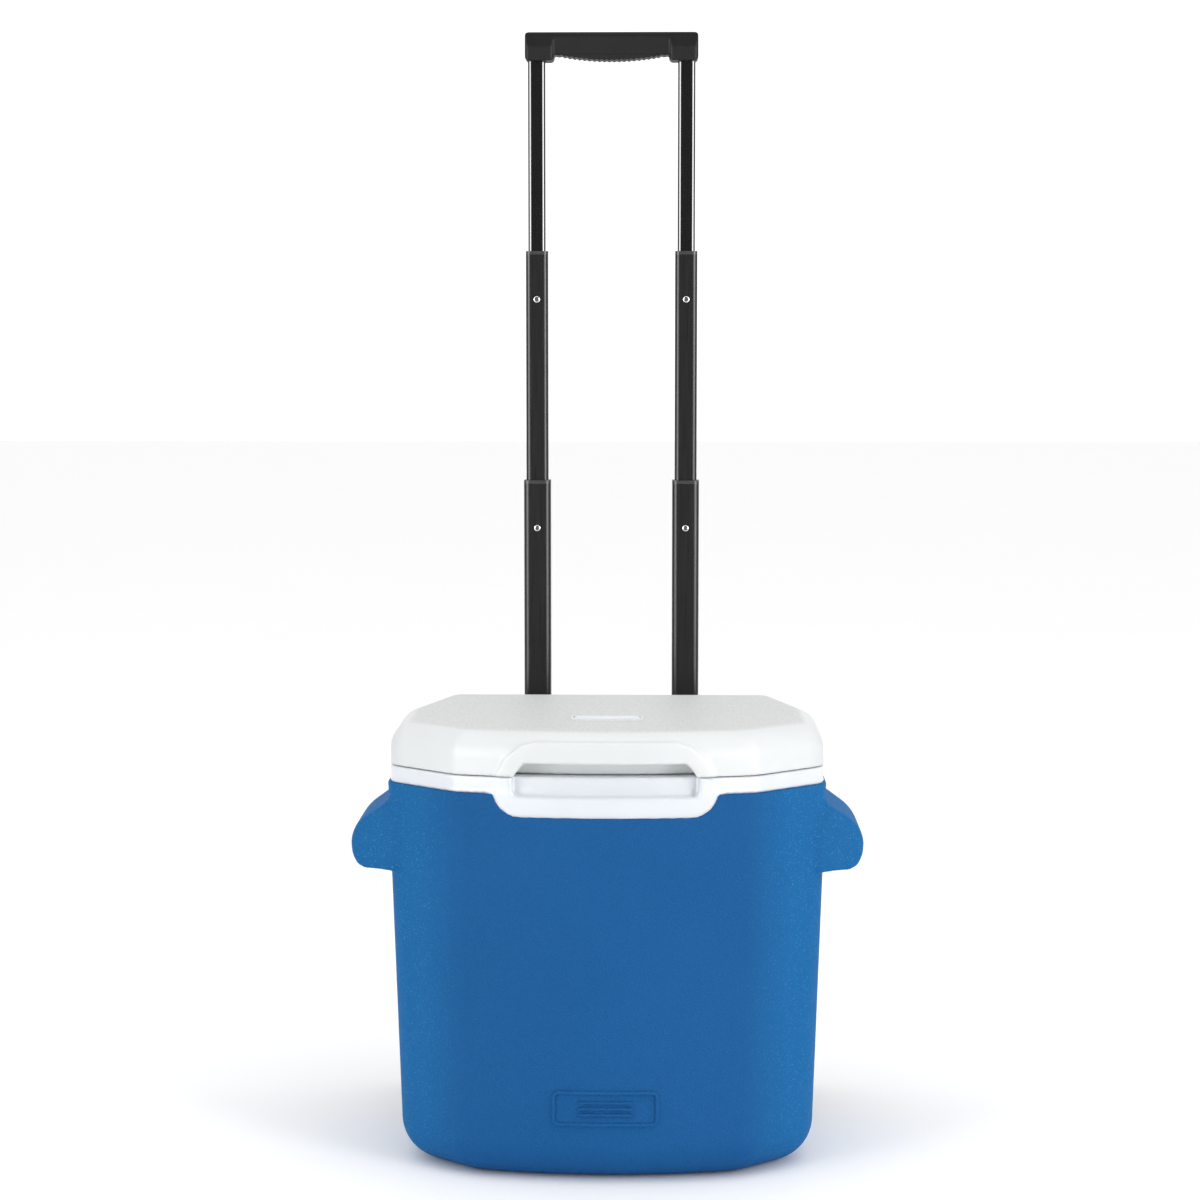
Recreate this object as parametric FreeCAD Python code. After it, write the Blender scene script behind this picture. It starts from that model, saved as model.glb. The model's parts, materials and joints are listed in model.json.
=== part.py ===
import FreeCAD, Part
import math
import os

from FreeCAD import Vector

# Small wheeled cooler with a telescopic handle. Millimetres, +X to the right, +Y to the back, +Z up.
# The origin is on the floor, under the middle of the whole object.

# tub
DEPTH = 262.0
HALF_WIDTH = 179.5
FRONT_Y = -158.25
BACK_Y = FRONT_Y + DEPTH
BOW_R = 450.0
FRONT_CREASE_X = 122.0
FRONT_FACET_DEPTH = 50.0
REAR_CREASE_X = 150.0
REAR_FACET_DEPTH = 104.0
CREASE_R = 24.0
CREASE_GROWTH = 22.0
SIDE_R = 26.0
TAPER = math.tan(math.radians(1.75))
BASE_R = 35.0
SHELL_WALL = 3.0
SHELL_LIP = 9.0
LINER_WALL = 2.5
FOAM_GAP = 22.0
FLOOR_GAP = 25.0
LINER_BASE_R = 17.0

# How far a cutting block reaches past the face it cuts, and how long it is.
MARGIN = 10.0
REACH = 60.0

# white rim on the tub
RIM_Z = 318.5
SEAM_Z = 332.0
RIM_INSET = 2.5
APRON_HALF = 89.0
APRON_DROP = 18.0
APRON_R = 22.0
APRON_CORNER = 21.0
APRON_FLANGE = 4.0
FLARE_R = 3.5
RECESS_HALF = 74.5
RECESS_DROP = 16.0
RECESS_DEPTH = 7.5
RECESS_CORNER_R = 5.0

# lid
SEAM_GAP = 0.5
LID_TOP_Z = 368.0
LID_ROLL_R = 22.0
LID_WALL = 2.5
LID_RECESS_TOP_HALF = 65.0
LID_RECESS_HEIGHT = 11.5
LID_RECESS_DEPTH = 18.0
BROW_TOP_HALF = 56.0
BROW_BASE_HALF = 88.0
BROW_TOP_Z = 361.0
BROW_CORNER = (12.0, 3.5)
BROW_WAIST = (8.0, 15.0)
BROW_REACH = 22.0
PLUG_DEPTH = 7.0
PLUG_GAP = 3.0
PLAQUE_HALF = 29.5
PLAQUE_FRONT = 76.0
PLAQUE_BACK = 96.0
MARK_LIFT = 0.8

# plain frame with three bars, low on the front
BADGE_HALF = 43.0
BADGE_BASE = 49.5
BADGE_TOP = 77.5
BADGE_BAND = 3.0
BADGE_BAR_HALF = 22.0
BADGE_BAR_ZS = (58.5, 63.5, 68.5)
BADGE_BAR_WIDTH = 2.0

# hinges
HINGE_Y = BACK_Y + 7.0
HINGE_Z = 356.0
KNUCKLE_R = 6.0
HINGE_PIN_R = 2.5
HINGE_CLEARANCE = 0.05
HINGE_X = 104.0
LID_KNUCKLE = 11.0
TUB_KNUCKLE = 10.0
KNUCKLE_GAP = 0.5
WEB_DEPTH = 12.0
WEB_HALF = 5.25

# side grips
WING_REACH = 211.5
WING_BASE_Z = 245.5
WING_TOP_Z = 307.5
WING_MIDDLE_Y = -40.0
WING_ROOT_HALF = 59.0
WING_TIP_HALF = 41.0
WING_TOP_R = 26.0
WING_EDGE_R = 6.0
WING_WALL = 3.5
WING_ROOT = 8.0
# Places on the grip's profile: inward from its reach, and down from its top or up from its base.
WING_SHOULDER = (17.0, 16.0)
WING_NOSE = (4.5, 28.0)
WING_TIP = (0.0, 42.0)
WING_TOE = (1.0, 13.0)
WING_HEEL = (5.0, 4.0)
WING_SOLE = (13.0, 0.0)

# wheels
WHEEL_R = 55.0
WHEEL_WIDTH = 32.0
WHEEL_X = 142.0
WHEEL_Y = -FRONT_Y - WHEEL_R
WHEEL_RIM_R = 45.0
WHEEL_RIM_WALL = 3.5
WHEEL_WEB_R = 40.0
WHEEL_HUB_R = 12.0
WHEEL_WEB = (-1.5, 3.0)
SPOKES = 6
SPOKE_HALF = 2.0
TREAD_GROOVES = (-5.0, 5.0)
GROOVE_HALF = 1.5
GROOVE_DEPTH = 1.5
AXLE_R = 4.0
AXLE_CLEARANCE = 0.06
AXLE_HALF = 165.0
AXLE_BOSS_X = (92.0, 116.0)
AXLE_BOSS_R = 11.0
END_PLAY = 1.0
WASHER_R = 9.0
WASHER_THICKNESS = 2.0
NUT_R = 8.0
NUT_LENGTH = 4.0
WELL_R = 60.0
WELL_X = 121.0
WELL_STEP = 9.0

# telescopic handle
LEG_X = 66.0
LEG_Y = BACK_Y + 39.0
WIDTHS = (28.1, 23.8, 19.5, 15.2)
DEPTHS = (23.7, 19.4, 15.1, 10.8)
TUBE_WALL = 1.1
CORNER_SHARE = 0.2
BOTTOMS = (68.0, 278.0, 488.0, 690.5)
TOPS = (340.0, 550.0, 752.5, 936.0)
RING_CLEARANCE = 0.3
RING_HEIGHT = 14.0
COLLAR_HEIGHT = 3.0
BUTTON_DROP = 39.5
BUTTON_R = 3.0
BUTTON_PROUD = 1.2
BUTTON_HOLE_CLEARANCE = 0.4
BUTTON_GUIDE_CLEARANCE = 0.1
BUTTON_ROOM = 1.5
FLANGE_R = 3.6
LEAF = 0.4
LEAF_WIDTH = 5.0
LEAF_RISE = 23.0

# grip bar
GRIP_HALF = 76.0
GRIP_BASE_Z = 926.0
GRIP_TOP_Z = 946.0
GRIP_DEPTH = 26.0
GRIP_CORNER_R = 3.4
GRIP_TOP_R = 5.0
BAR_DEPTH = 22.0
BAR_BASE_R = 1.5
LOBE_DROP = 5.0
LOBE_X = 50.5
LOBE_SHOULDER = 12.0
SCALLOPS = 21
SCALLOP_PITCH = 4.4
SCALLOP_R = 1.9
SCALLOP_SHARE = 0.9
BELLY_R = 240.0
BELLY_DROP = 5.0
BELLY_HALF = 50.0
GRIP_PIN_R = 1.5
GRIP_PIN_UP = 3.0

# brackets that hold the handle and the axle on the back of the tub
PLATE_THICKNESS = 4.0
PLATE_ROOT = 25.0
TOWER_HALF = 17.0
TOWER_R = 5.0
TOWER_WALL = 3.0
WINDOW_HALF = 12.0
UPPER_HALF = 102.0
UPPER_Z = (289.0, 311.0)
UPPER_SOCKET_Z = 280.0
UPPER_SCREW_XS = (-92.0, -25.0, 25.0, 92.0)
UPPER_SCREW_Z = 300.0
LOWER_HALF = 116.0
LOWER_Z = (42.0, 80.0)
LOWER_TOWER_Z = (60.0, 88.0)
LOWER_SCREW_XS = (-25.0, 25.0)
LOWER_SCREW_Z = 62.0
SCREW_R = 2.0
SCREW_HEAD_R = 4.5
SCREW_HEAD = 2.2
SCREW_LENGTH = 13.0
DRIVE_R = 1.4
DRIVE_DEPTH = 1.2


def fuse(shapes):
    joined = shapes[0]
    for shape in shapes[1:]:
        joined = joined.fuse(shape)
    return joined.removeSplitter()


def box(x0, x1, y0, y1, z0, z1):
    return Part.makeBox(x1 - x0, y1 - y0, z1 - z0, Vector(x0, y0, z0))


def rod(radius, start, end):
    start = Vector(*start)
    way = Vector(*end) - start
    return Part.makeCylinder(radius, way.Length, start, way)


def mirrored(shape):
    return shape.mirror(Vector(0, 0, 0), Vector(1, 0, 0))


def flipped(point):
    return Vector(-point.x, point.y, point.z)


def toward(vector):
    return vector / vector.Length


def prism(points, along, length):
    wire = Part.makePolygon([Vector(*p) for p in points + [points[0]]])
    return Part.Face(wire).extrude(Vector(*along) * length)


def arc(start, middle, end):
    return Part.Arc(start, middle, end).toShape()


def line(start, end):
    return Part.LineSegment(start, end).toShape()


# Outline of the tub at one height: a bowed front, four corner facets and rounded creases.


def rounded_corner(before, corner, after, radius):
    back = toward(before - corner)
    ahead = toward(after - corner)
    half = back.getAngle(ahead) / 2
    run = radius / math.tan(half)
    bisector = toward(back + ahead)
    middle = corner + bisector * (radius / math.sin(half) - radius)
    return corner + back * run, middle, corner + ahead * run


def bow_corner(centre, bow_r, facet_point, facet_way, radius):
    inward = Vector(-facet_way.y, facet_way.x, 0)
    from_bow = facet_point + inward * radius - centre
    b = from_bow.dot(facet_way)
    c = from_bow.dot(from_bow) - (bow_r - radius) ** 2
    root = math.sqrt(b * b - c)
    run = min((-b - root, -b + root), key=abs)
    pivot = facet_point + inward * radius + facet_way * run
    on_facet = pivot - inward * radius
    on_bow = centre + toward(pivot - centre) * bow_r
    middle = pivot + toward(on_facet + on_bow - pivot * 2) * radius
    return on_bow, middle, on_facet


def outline(z, inset, crease_r, side_r):
    centre = Vector(0, FRONT_Y + BOW_R, 0)
    bow_r = BOW_R - inset
    half = HALF_WIDTH - inset
    crease_y = centre.y - math.sqrt(BOW_R**2 - FRONT_CREASE_X**2)
    crease = Vector(FRONT_CREASE_X, crease_y, 0)
    side = Vector(HALF_WIDTH, crease_y + FRONT_FACET_DEPTH, 0)
    front_way = toward(side - crease)
    front_point = crease + Vector(-front_way.y, front_way.x, 0) * inset
    rear_way = toward(Vector(REAR_CREASE_X - HALF_WIDTH, REAR_FACET_DEPTH, 0))
    rear_point = Vector(HALF_WIDTH, BACK_Y - REAR_FACET_DEPTH, 0)
    rear_point += Vector(-rear_way.y, rear_way.x, 0) * inset
    corner_a = front_point + front_way * ((half - front_point.x) / front_way.x)
    corner_b = rear_point + rear_way * ((half - rear_point.x) / rear_way.x)
    corner_c = rear_point + rear_way * ((BACK_Y - inset - rear_point.y) / rear_way.y)
    right = [
        bow_corner(centre, bow_r, front_point, front_way, crease_r),
        rounded_corner(front_point, corner_a, corner_b, side_r),
        rounded_corner(corner_a, corner_b, corner_c, side_r),
        rounded_corner(corner_b, corner_c, Vector(0, corner_c.y, 0), side_r),
    ]
    left = [tuple(flipped(p) for p in reversed(corner)) for corner in reversed(right)]
    up = Vector(0, 0, z)
    front = Vector(0, centre.y - bow_r, z)
    first = right[0][0] + up
    edges = [arc(flipped(first), front, first)]
    corners = [tuple(p + up for p in corner) for corner in right + left]
    for this, following in zip(corners, corners[1:] + [None]):
        edges.append(arc(*this))
        if following:
            edges.append(line(this[2], following[0]))
    return Part.Wire(edges)


def tub_solid(inset, base_z, top_z, base_r):
    """The tapered tub, set in from its outer surface, with a rounded bottom edge."""
    low = inset + (RIM_Z - base_z) * TAPER
    high = inset + (RIM_Z - top_z) * TAPER
    shrink = min(inset, CREASE_R - 6)
    wider = CREASE_GROWTH - shrink
    bottom = outline(base_z, low, CREASE_R + wider, SIDE_R + wider)
    top = outline(top_z, high, CREASE_R - shrink, SIDE_R - shrink)
    solid = Part.makeLoft([bottom, top], True, True)
    edges = [e for e in solid.Edges if e.BoundBox.ZMax < base_z + 0.01]
    return solid.makeFillet(base_r, edges)


def straight_solid(inset, z0, z1):
    """The same outline with upright walls, as on the rim and the lid."""
    shrink = min(inset, CREASE_R - 6)
    wire = outline(z0, inset, CREASE_R - shrink, SIDE_R - shrink)
    return Part.Face(wire).extrude(Vector(0, 0, z1 - z0))


def wheel_wells(grow):
    """Round wells for the wheels at the rear bottom corners, open to the side, back and floor."""
    radius = WELL_R + grow
    inner = WELL_X - grow
    right = fuse(
        [
            rod(radius, (inner, WHEEL_Y, WHEEL_R), (HALF_WIDTH + MARGIN, WHEEL_Y, WHEEL_R)),
            box(inner, HALF_WIDTH + MARGIN, WHEEL_Y - radius, WHEEL_Y + radius, -MARGIN, WHEEL_R),
        ]
    )
    return fuse([right, mirrored(right)])


def apron_prism(grow):
    """Front apron below the rim: rounded lower corners, and small flares where it meets the rim."""
    half = APRON_HALF + grow
    base = RIM_Z - APRON_DROP - grow
    flare_z = RIM_Z - FLARE_R
    corner = Vector(half - APRON_CORNER, 0, base + APRON_R)
    reach = math.sqrt(APRON_R**2 - (flare_z - corner.z) ** 2)
    k = math.sqrt(0.5)
    y = FRONT_Y - MARGIN
    half = corner.x + reach
    right = [
        Vector(half + FLARE_R, y, RIM_Z + 2),
        Vector(half + FLARE_R, y, RIM_Z),
        Vector(half + FLARE_R * (1 - k), y, flare_z + FLARE_R * k),
        Vector(half, y, flare_z),
        Vector(corner.x + APRON_R * k, y, corner.z - APRON_R * k),
        Vector(corner.x, y, base),
    ]
    edges = []
    for side in (right, [flipped(p) for p in right]):
        edges.append(line(side[0], side[1]))
        edges.append(arc(*side[1:4]))
        edges.append(arc(*side[3:6]))
    edges.append(line(right[0], flipped(right[0])))
    edges.append(line(right[5], flipped(right[5])))
    wire = Part.Wire(Part.__sortEdges__(edges))
    return Part.Face(wire).extrude(Vector(0, REACH, 0))


def tub_recess(grow, top_z):
    """Finger recess in the apron, open at the seam, with rounded lower corners."""
    half = RECESS_HALF + grow
    base = SEAM_Z - RECESS_DROP - grow
    block = box(-half, half, FRONT_Y - MARGIN, FRONT_Y - MARGIN + REACH, base, top_z)
    lower = [e for e in block.Edges if e.BoundBox.ZMax < base + 0.01 and e.BoundBox.XLength < 1]
    return block.makeFillet(RECESS_CORNER_R + grow, lower)


def lid_recess(grow):
    """Finger recess in the lid above the seam, narrower at its top."""
    y = FRONT_Y - MARGIN
    low = SEAM_Z - 1
    high = SEAM_Z + LID_RECESS_HEIGHT + grow
    points = [
        (-RECESS_HALF - grow, y, low),
        (RECESS_HALF + grow, y, low),
        (LID_RECESS_TOP_HALF + grow, y, high),
        (-LID_RECESS_TOP_HALF - grow, y, high),
    ]
    return prism(points, (0, 1, 0), REACH)


def brow(trim):
    """Raised band round the lid's recess, upright where the rest of the lid's edge rolls over."""
    y = FRONT_Y - MARGIN
    base_half = BROW_BASE_HALF - trim
    waist_half = base_half - BROW_WAIST[0]
    waist_z = SEAM_Z + BROW_WAIST[1]
    top_half = BROW_TOP_HALF - trim
    top_z = BROW_TOP_Z - trim
    corner_half = top_half + BROW_CORNER[0]
    corner_z = top_z - BROW_CORNER[1]
    points = [
        (-base_half, y, SEAM_Z + SEAM_GAP),
        (base_half, y, SEAM_Z + SEAM_GAP),
        (waist_half, y, waist_z),
        (corner_half, y, corner_z),
        (top_half, y, top_z),
        (-top_half, y, top_z),
        (-corner_half, y, corner_z),
        (-waist_half, y, waist_z),
    ]
    return prism(points, (0, 1, 0), REACH)


def wing_plan(trim):
    """The side grip's plan, upright: wide at the tub, narrower at the tip, with rounded tip corners."""
    tip = WING_TIP_HALF - trim
    root = WING_ROOT_HALF - trim
    inner = HALF_WIDTH - WING_ROOT
    outer = WING_REACH - trim
    base = WING_BASE_Z - MARGIN
    points = [
        (inner, WING_MIDDLE_Y - root, base),
        (outer, WING_MIDDLE_Y - tip, base),
        (outer, WING_MIDDLE_Y + tip, base),
        (inner, WING_MIDDLE_Y + root, base),
    ]
    block = prism(points, (0, 0, 1), WING_TOP_Z - base + MARGIN)
    tips = [e for e in block.Edges if e.BoundBox.XMin > outer - 0.01 and e.BoundBox.ZLength > 5]
    return block.makeFillet(WING_EDGE_R * 2 - trim, tips)


def wing_end_view(trim):
    """The side grip seen from its end: its top falls away in a wide curve at the front and the back."""
    half = WING_ROOT_HALF - trim
    x = HALF_WIDTH - WING_ROOT
    y0 = WING_MIDDLE_Y - half
    block = box(x, WING_REACH + MARGIN, y0, y0 + 2 * half, WING_BASE_Z - MARGIN, WING_TOP_Z)
    tops = [e for e in block.Edges if e.BoundBox.XLength > 5 and e.BoundBox.ZMin > WING_TOP_Z - 0.01]
    return block.makeFillet(WING_TOP_R, tops)


def wing():
    """Side grip: sloping top, rounded nose and flat underside, hollow from below for the fingers."""
    y = WING_MIDDLE_Y - WING_ROOT_HALF - MARGIN
    length = 2 * (WING_ROOT_HALF + MARGIN)
    inner = HALF_WIDTH - WING_ROOT

    def from_top(place):
        return Vector(WING_REACH - place[0], y, WING_TOP_Z - place[1])

    def from_base(place):
        return Vector(WING_REACH - place[0], y, WING_BASE_Z + place[1])

    root_base = Vector(inner, y, WING_BASE_Z)
    root_top = Vector(inner, y, WING_TOP_Z)
    edges = [
        line(root_base, root_top),
        line(root_top, from_top(WING_SHOULDER)),
        arc(from_top(WING_SHOULDER), from_top(WING_NOSE), from_top(WING_TIP)),
        line(from_top(WING_TIP), from_base(WING_TOE)),
        arc(from_base(WING_TOE), from_base(WING_HEEL), from_base(WING_SOLE)),
        line(from_base(WING_SOLE), root_base),
    ]
    outer = Part.Face(Part.Wire(edges)).extrude(Vector(0, length, 0))
    outer = outer.common(wing_plan(0.0)).common(wing_end_view(0.0))
    pocket_inner = HALF_WIDTH + WING_WALL / 2
    pocket_outer = WING_REACH - WING_WALL - 0.5
    shoulder_x = WING_REACH - WING_SHOULDER[0]
    pocket_points = [
        (pocket_inner, y, WING_BASE_Z - WING_WALL),
        (pocket_outer, y, WING_BASE_Z - WING_WALL),
        (pocket_outer, y, WING_TOP_Z - WING_TIP[1] - 1),
        (shoulder_x - 1, y, WING_TOP_Z - WING_SHOULDER[1] - WING_WALL * 1.7),
        (pocket_inner, y, WING_TOP_Z - WING_WALL * 3.7),
    ]
    pocket = prism(pocket_points, (0, 1, 0), length)
    pocket = pocket.common(wing_plan(WING_WALL)).common(wing_end_view(WING_WALL * 1.4))
    return outer, pocket


def badge():
    """Plain raised frame with three bars, low on the front."""
    y0 = FRONT_Y - MARGIN
    y1 = y0 + REACH
    plate = box(-BADGE_HALF, BADGE_HALF, y0, y1, BADGE_BASE, BADGE_TOP)
    half = BADGE_HALF - BADGE_BAND
    inner = box(-half, half, y0, y1, BADGE_BASE + BADGE_BAND, BADGE_TOP - BADGE_BAND)
    for z in BADGE_BAR_ZS:
        inner = inner.cut(box(-BADGE_BAR_HALF, BADGE_BAR_HALF, y0, y1, z, z + BADGE_BAR_WIDTH))
    band = tub_solid(-MARK_LIFT, 0.0, RIM_Z, BASE_R).cut(tub_solid(SHELL_WALL / 2, 0.0, RIM_Z, BASE_R))
    return plate.cut(inner).common(band)


def tub_parts(fasteners):
    outside = tub_solid(0.0, 0.0, RIM_Z, BASE_R)
    inside = tub_solid(SHELL_WALL, SHELL_WALL, RIM_Z, BASE_R - SHELL_WALL)
    wells = wheel_wells(0.0)
    wells_walls = wheel_wells(SHELL_WALL)
    low = RIM_Z - REACH
    apron_band = straight_solid(RIM_INSET, low, SEAM_Z)
    pocket_floor = straight_solid(RIM_INSET + RECESS_DEPTH, low, SEAM_Z + MARGIN)
    pocket_back = straight_solid(RIM_INSET + RECESS_DEPTH + LINER_WALL, low, SEAM_Z)

    pocket = tub_recess(0.0, SEAM_Z + MARGIN).cut(pocket_floor)
    pocket_wall = tub_recess(LINER_WALL, SEAM_Z).cut(pocket_back).common(apron_band)
    apron_face = apron_prism(0.0).common(apron_band)
    apron_face = apron_face.cut(straight_solid(RIM_INSET + LINER_WALL * 2, low, SEAM_Z))
    backing = SHELL_WALL + LINER_WALL
    flange = apron_prism(APRON_FLANGE).common(inside)
    flange = flange.cut(tub_solid(backing, SHELL_WALL, RIM_Z, BASE_R - backing))
    flange = flange.common(straight_solid(0.0, 0.0, RIM_Z - SHELL_WALL))

    cavity_inset = SHELL_WALL + FOAM_GAP + LINER_WALL
    liner_floor = SHELL_WALL + FLOOR_GAP
    cavity = tub_solid(cavity_inset, liner_floor + LINER_WALL, SEAM_Z + 1, LINER_BASE_R - LINER_WALL)
    liner_body = tub_solid(SHELL_WALL + FOAM_GAP, liner_floor, SEAM_Z, LINER_BASE_R)
    cavity = cavity.cut(wheel_wells(WELL_STEP + LINER_WALL))
    liner_body = liner_body.cut(wheel_wells(WELL_STEP))
    rim = straight_solid(RIM_INSET, RIM_Z, SEAM_Z)
    rim_core = straight_solid(RIM_INSET + LINER_WALL, RIM_Z, SEAM_Z - LINER_WALL)

    liner_outer = fuse([liner_body, pocket_wall])
    skin = fuse([rim.cut(rim_core), apron_face, flange, liner_outer, hinge_arms()])
    liner = skin.cut(cavity).cut(pocket)

    lip = outside.common(straight_solid(0.0, RIM_Z - SHELL_WALL, RIM_Z))
    lip = lip.cut(straight_solid(SHELL_LIP, low, RIM_Z + 1))
    shell = fuse([outside.cut(inside).cut(wells), wells_walls.common(outside).cut(wells), lip])
    wing_outer, wing_pocket = wing()
    wings = []
    for side in (wing_outer, mirrored(wing_outer)):
        wings.append(side.cut(outside))
    shell = fuse([shell, badge()] + wings)
    shell = shell.cut(wing_pocket.cut(outside)).cut(mirrored(wing_pocket).cut(outside))
    notch = apron_prism(0.0).common(outside)
    shell = shell.cut(notch.cut(straight_solid(SHELL_LIP + SHELL_WALL, low, RIM_Z + 1)))

    foam = fuse([inside.cut(wells_walls), rim_core])
    foam = foam.cut(liner_outer).cut(cavity).cut(pocket).cut(apron_face).cut(flange)
    shell = shell.cut(liner).cut(fasteners)
    foam = foam.cut(shell).cut(fasteners)
    return shell, foam, liner, outside


def knuckle(centre_x, width, bore_r):
    x0, x1 = centre_x - width / 2, centre_x + width / 2
    barrel = rod(KNUCKLE_R, (x0, HINGE_Y, HINGE_Z), (x1, HINGE_Y, HINGE_Z))
    return barrel, rod(bore_r, (x0 - 1, HINGE_Y, HINGE_Z), (x1 + 1, HINGE_Y, HINGE_Z))


def arm_centres():
    offset = (LID_KNUCKLE + TUB_KNUCKLE) / 2 + KNUCKLE_GAP
    return (HINGE_X - offset, HINGE_X + offset)


def hinge_arms():
    """Arms on the rim's back that carry the hinge pins behind the lid."""
    arms = []
    for centre_x in arm_centres():
        x0, x1 = centre_x - TUB_KNUCKLE / 2, centre_x + TUB_KNUCKLE / 2
        back = BACK_Y - RIM_INSET - 1
        points = [
            (x0, back, RIM_Z + 1),
            (x0, HINGE_Y + 2, RIM_Z + 6),
            (x0, HINGE_Y + KNUCKLE_R, RIM_Z + 14),
            (x0, HINGE_Y + KNUCKLE_R, HINGE_Z),
            (x0, HINGE_Y - KNUCKLE_R, HINGE_Z),
            (x0, HINGE_Y - KNUCKLE_R, SEAM_Z - 1),
            (x0, back, SEAM_Z - 1),
        ]
        barrel, bore = knuckle(centre_x, TUB_KNUCKLE, HINGE_PIN_R)
        arm = fuse([prism(points, (1, 0, 0), x1 - x0), barrel]).cut(bore)
        arms += [arm, mirrored(arm)]
    return fuse(arms)


def lid_parts():
    base = SEAM_Z + SEAM_GAP
    solid = straight_solid(RIM_INSET, base, LID_TOP_Z)
    top_edges = [e for e in solid.Edges if e.BoundBox.ZMin > LID_TOP_Z - 0.01]
    outer = solid.makeFillet(LID_ROLL_R, top_edges)
    core = straight_solid(RIM_INSET + LID_WALL, base, LID_TOP_Z - LID_WALL)
    core_edges = [e for e in core.Edges if e.BoundBox.ZMin > LID_TOP_Z - LID_WALL - 0.01]
    core = core.makeFillet(LID_ROLL_R - LID_WALL, core_edges)
    brow_band = brow(0.0).common(straight_solid(RIM_INSET - 2.0, base, LID_TOP_Z))
    brow_band = brow_band.cut(straight_solid(RIM_INSET + BROW_REACH, base - 1, LID_TOP_Z))
    brow_core = brow(LID_WALL).common(straight_solid(RIM_INSET + LID_WALL - 1, base, BROW_TOP_Z - LID_WALL))
    brow_core = brow_core.cut(straight_solid(RIM_INSET + BROW_REACH, base - 1, LID_TOP_Z))

    floor = straight_solid(RIM_INSET + LID_RECESS_DEPTH, base - 1, LID_TOP_Z)
    behind = straight_solid(RIM_INSET + LID_RECESS_DEPTH + LID_WALL, base - 1, LID_TOP_Z)
    recess = lid_recess(0.0).cut(floor)
    recess_wall = lid_recess(LID_WALL).cut(behind).common(fuse([outer, brow_band]))
    recess_wall = recess_wall.common(straight_solid(0, base, LID_TOP_Z))

    webs = []
    barrel, bore = knuckle(HINGE_X, LID_KNUCKLE, HINGE_PIN_R + HINGE_CLEARANCE)
    x0, x1 = HINGE_X - LID_KNUCKLE / 2, HINGE_X + LID_KNUCKLE / 2
    web = box(x0, x1, BACK_Y - WEB_DEPTH, HINGE_Y, HINGE_Z - WEB_HALF, HINGE_Z + WEB_HALF)
    web = fuse([web, barrel]).cut(bore).cut(core)
    for shape in (web, mirrored(web)):
        webs.append(shape)

    plaque_y0, plaque_y1 = FRONT_Y + PLAQUE_FRONT, FRONT_Y + PLAQUE_BACK
    plaque = box(-PLAQUE_HALF, PLAQUE_HALF, plaque_y0, plaque_y1, LID_TOP_Z - 1, LID_TOP_Z + MARK_LIFT)
    hollow = fuse([core.cut(brow_band), brow_core]).cut(recess_wall)
    shell = fuse([outer, brow_band, plaque]).cut(hollow).cut(recess)
    shell = fuse([shell.fuse(recess_wall).cut(recess)] + webs)

    panel = straight_solid(RIM_INSET + LID_WALL, base, base + LID_WALL)
    tray_inset = SHELL_WALL + FOAM_GAP + LINER_WALL + PLUG_GAP
    tray = straight_solid(tray_inset, base - PLUG_DEPTH, base + LID_WALL)
    tray_core = straight_solid(tray_inset + LINER_WALL, base - PLUG_DEPTH + LINER_WALL, base + LID_WALL)
    panel = fuse([panel, tray]).cut(tray_core).cut(shell).cut(lid_recess(LID_WALL).cut(behind))
    return shell, panel


def rounded(width, depth, radius, x, y, z, height):
    block = box(x - width / 2, x + width / 2, y - depth / 2, y + depth / 2, z, z + height)
    upright = [e for e in block.Edges if e.BoundBox.ZLength > height - 0.01]
    return block.makeFillet(radius, upright)


def section(stage, trim, z0, z1):
    """One tube section, set in by trim from the outside of the given stage's tube, on the right leg."""
    width = WIDTHS[stage] - 2 * trim
    depth = DEPTHS[stage] - 2 * trim
    radius = WIDTHS[stage] * CORNER_SHARE - trim
    return rounded(width, depth, radius, LEG_X, LEG_Y, z0, z1 - z0)


def button_z(stage):
    """Height of the button that sits in this stage and locks it in the tube outside it."""
    return TOPS[stage - 1] - BUTTON_DROP


def button_hole(stage, radius):
    z = button_z(stage)
    front = LEG_Y - DEPTHS[0]
    return rod(radius, (LEG_X, front, z), (LEG_X, LEG_Y, z))


def tube(stage):
    shape = section(stage, 0, BOTTOMS[stage], TOPS[stage])
    shape = shape.cut(section(stage, TUBE_WALL, BOTTOMS[stage] - 1, TOPS[stage] + 1))
    if stage > 0:
        shape = shape.cut(button_hole(stage, BUTTON_R + BUTTON_GUIDE_CLEARANCE))
    if stage < 3:
        shape = shape.cut(button_hole(stage + 1, BUTTON_R + BUTTON_HOLE_CLEARANCE))
    return shape


def bush(stage):
    """Plastic guide in the top of a tube, with a collar on the tube's end."""
    top = TOPS[stage]
    ring = section(stage, TUBE_WALL, top - RING_HEIGHT, top)
    collar = section(stage, 0, top, top + COLLAR_HEIGHT)
    bore = section(stage + 1, -RING_CLEARANCE, top - RING_HEIGHT - 1, top + COLLAR_HEIGHT + 1)
    return fuse([ring, collar]).cut(bore)


def slider(stage):
    """Plastic shoe on the lower end of a tube, which runs inside the tube outside it."""
    low = BOTTOMS[stage]
    shoe = section(stage - 1, TUBE_WALL + RING_CLEARANCE, low - COLLAR_HEIGHT, low + RING_HEIGHT)
    return shoe.cut(section(stage, 0, low, low + RING_HEIGHT + 1))


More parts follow.
